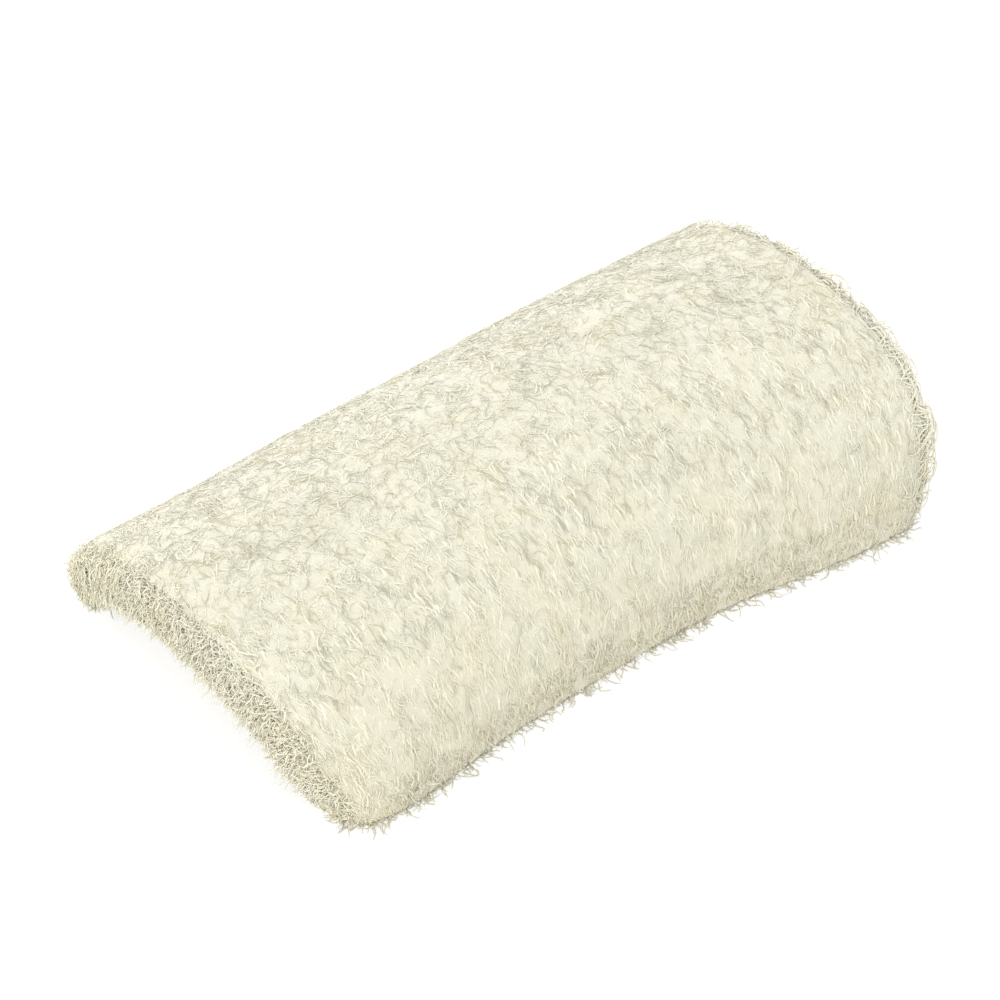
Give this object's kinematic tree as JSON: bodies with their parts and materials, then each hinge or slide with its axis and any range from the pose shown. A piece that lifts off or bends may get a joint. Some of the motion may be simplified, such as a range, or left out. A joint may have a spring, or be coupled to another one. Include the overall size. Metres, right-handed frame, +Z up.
{
  "type": "loofah back scrubber",
  "caption": "Arched half-shell pad of dried luffa fibre, held in the palm to scrub the back.",
  "frame": {"origin": "middle of the pad's footprint, on the plane of its two cut edges", "axes": "+X along the pad towards its taller end, +Y towards its rear edge, +Z up from the cut edges to the crown"},
  "size_m": [0.1638, 0.0992, 0.0384],
  "materials": {
    "outer_fibre": "dry cream plant fibre mat, soft satin strands",
    "middle_fibre": "springy curled plant fibre, matte",
    "inner_fibre": "lengthwise plant fibre, matte",
    "septum_fibre": "cut spongy plant fibre, matte",
    "strand_fibre": "thick straw-like plant strand, satin"
  },
  "bodies": {
    "root": {"outer_hoop_wall": "outer_fibre", "middle_mat": "middle_fibre", "inner_axial_wall": "inner_fibre", "septum_stub_front": "septum_fibre", "septum_stub_rear": "septum_fibre", "axial_strand_1": "strand_fibre", "axial_strand_2": "strand_fibre", "axial_strand_3": "strand_fibre", "axial_strand_4": "strand_fibre", "axial_strand_5": "strand_fibre", "axial_strand_6": "strand_fibre", "axial_strand_7": "strand_fibre"}
  },
  "joints": []
}
